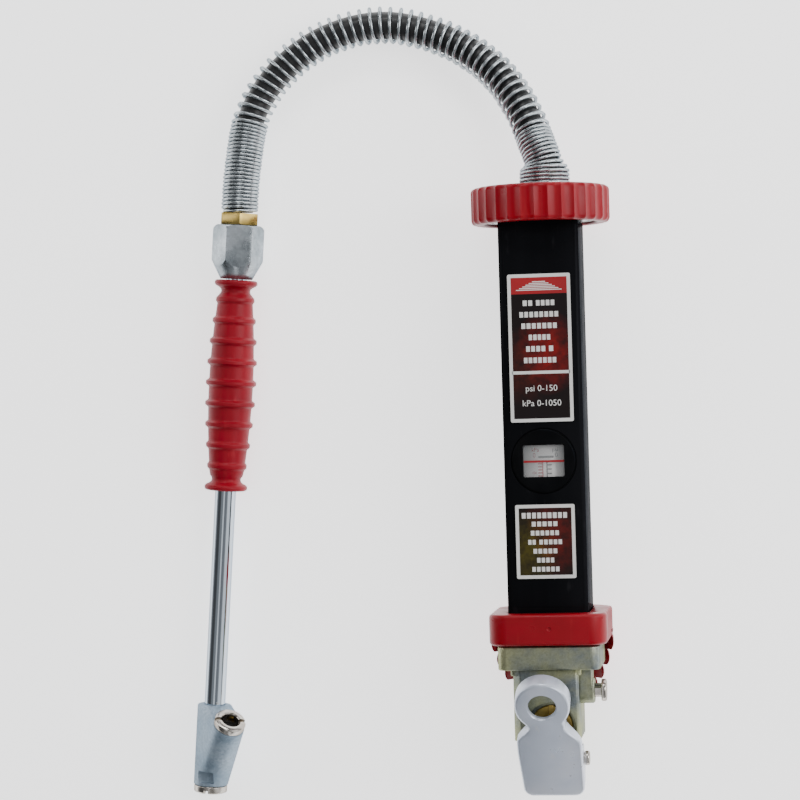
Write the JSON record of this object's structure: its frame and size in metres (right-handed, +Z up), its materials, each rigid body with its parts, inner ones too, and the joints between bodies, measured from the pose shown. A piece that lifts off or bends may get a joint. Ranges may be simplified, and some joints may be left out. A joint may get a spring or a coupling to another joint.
{
  "type": "tyre inflator with gauge",
  "caption": "Hand-held tyre inflator: square barrel with linear gauge sight, trigger lever, deflate button, spring-guarded hose and a swivelling wand with a two-footed chuck.",
  "frame": {"origin": "on the surface that the inflator lies on, under the middle of the lower bumper's flat pad", "axes": "+Y along the barrel from the valve end to the hose end, +X to the right with the sight facing the viewer, +Z up out of the sight"},
  "size_m": [0.2104, 0.3761, 0.0731],
  "materials": {
    "anodised": "satin black anodised extrusion",
    "black_trim": "black moulded trim",
    "clear_lens": "clear window",
    "label": "printed sticker, dark red to black",
    "seal_rubber": "black rubber",
    "cap_metal": "turned, satin",
    "red_rubber": "satin red moulded rubber",
    "brass": "machined",
    "screw_steel": "plain steel",
    "scale_white": "white drum with printed scale",
    "black_nylon": "moulded",
    "white_nylon": "moulded",
    "spring_steel": "spring wire",
    "yellow_zinc": "zinc die casting, yellow passivated, grainy satin",
    "bronze": "sintered",
    "nickel": "nickel plated",
    "lever_zinc": "satin grey die casting with polished edges",
    "hose_rubber": "black rubber hose",
    "guard_wire": "galvanised spring wire",
    "bright_zinc": "bright zinc plated, spangled",
    "chrome": "polished chrome",
    "red_grip": "satin red moulded rubber",
    "satin_zinc": "bluish satin zinc plating"
  },
  "bodies": {
    "inflator": {"barrel": "anodised", "upper_label": "label", "lower_label": "label", "window_bezel": "black_trim", "lens": "clear_lens", "lens_gasket": "seal_rubber", "top_cap": "cap_metal", "cap_gasket": "seal_rubber", "top_bumper": "red_rubber", "hose_adaptor": "brass", "tie_rod_1": "screw_steel", "tie_rod_2": "screw_steel", "tie_rod_3": "screw_steel", "tie_rod_4": "screw_steel", "gauge_spring": "spring_steel", "spring_seat": "white_nylon", "lower_bumper": "red_rubber", "valve_body": "yellow_zinc", "body_gasket": "seal_rubber", "inlet_adaptor": "brass", "inlet_filter": "bronze", "valve_seat": "brass", "gland_nut": "brass", "gland_seal": "seal_rubber", "valve_spring": "spring_steel", "valve_plug": "brass", "deflate_spring": "spring_steel", "lever_pin": "nickel", "pin_clip": "spring_steel", "hose": "hose_rubber", "spring_guard": "guard_wire", "hose_coupling": "brass", "swivel_seal": "seal_rubber"},
    "indicator": {"scale_drum": "scale_white", "gauge_piston": "black_nylon", "piston_seal": "seal_rubber"},
    "plunger": {"valve_plunger": "brass", "plunger_seal": "seal_rubber"},
    "button": {"deflate_button": "nickel", "deflate_seal": "seal_rubber"},
    "lever": {"lever": "lever_zinc"},
    "wand": {"swivel_nut": "bright_zinc", "wand_tube": "chrome", "grip": "red_grip", "chuck_body": "satin_zinc", "front_foot_ring": "nickel", "front_foot_seal": "seal_rubber", "front_foot_spring": "spring_steel", "rear_foot_ring": "nickel", "rear_foot_seal": "seal_rubber", "rear_foot_spring": "spring_steel"},
    "front_pin": {"front_foot_pin": "brass"},
    "rear_pin": {"rear_foot_pin": "brass"}
  },
  "joints": [
    {"name": "lever_press", "type": "hinge", "parent": "inflator", "child": "lever", "pos_m": [0, -0.0588, 0.0446], "axis": [-1, 0, 0], "range_deg": [0, 10], "stiffness_Nm_per_rad": 0.33, "springref_deg": -5.73},
    {"name": "plunger_slide", "type": "slide", "parent": "inflator", "child": "plunger", "axis": [0, 0, -1], "range_m": [0, 0.0036], "deforming": ["valve_spring"]},
    {"name": "gauge_slide", "type": "slide", "parent": "inflator", "child": "indicator", "axis": [0, 1, 0], "range_m": [0, 0.06], "stiffness_N_per_m": 3000, "deforming": ["gauge_spring"]},
    {"name": "deflate_press", "type": "slide", "parent": "inflator", "child": "button", "axis": [-1, 0, 0], "range_m": [0, 0.002], "stiffness_N_per_m": 400, "springref_m": -0.002, "deforming": ["deflate_spring"]},
    {"name": "wand_swivel", "type": "hinge", "parent": "inflator", "child": "wand", "pos_m": [-0.1471, 0.1944, 0.0139], "axis": [0.0841, 0.9963, 0.0198], "continuous": true},
    {"name": "front_foot_pin_slide", "type": "slide", "parent": "wand", "child": "front_pin", "axis": [0.0841, 0.9963, 0.0198], "range_m": [0, 0.002], "stiffness_N_per_m": 300, "springref_m": -0.001, "deforming": ["front_foot_spring"]},
    {"name": "rear_foot_pin_slide", "type": "slide", "parent": "wand", "child": "rear_pin", "axis": [-0.396, -0.7706, -0.4994], "range_m": [0, 0.002], "stiffness_N_per_m": 300, "springref_m": -0.001, "deforming": ["rear_foot_spring"]}
  ],
  "couplings": [
    {"joint": "plunger_slide", "follows": "lever_press", "m_per_rad": 0.02}
  ]
}
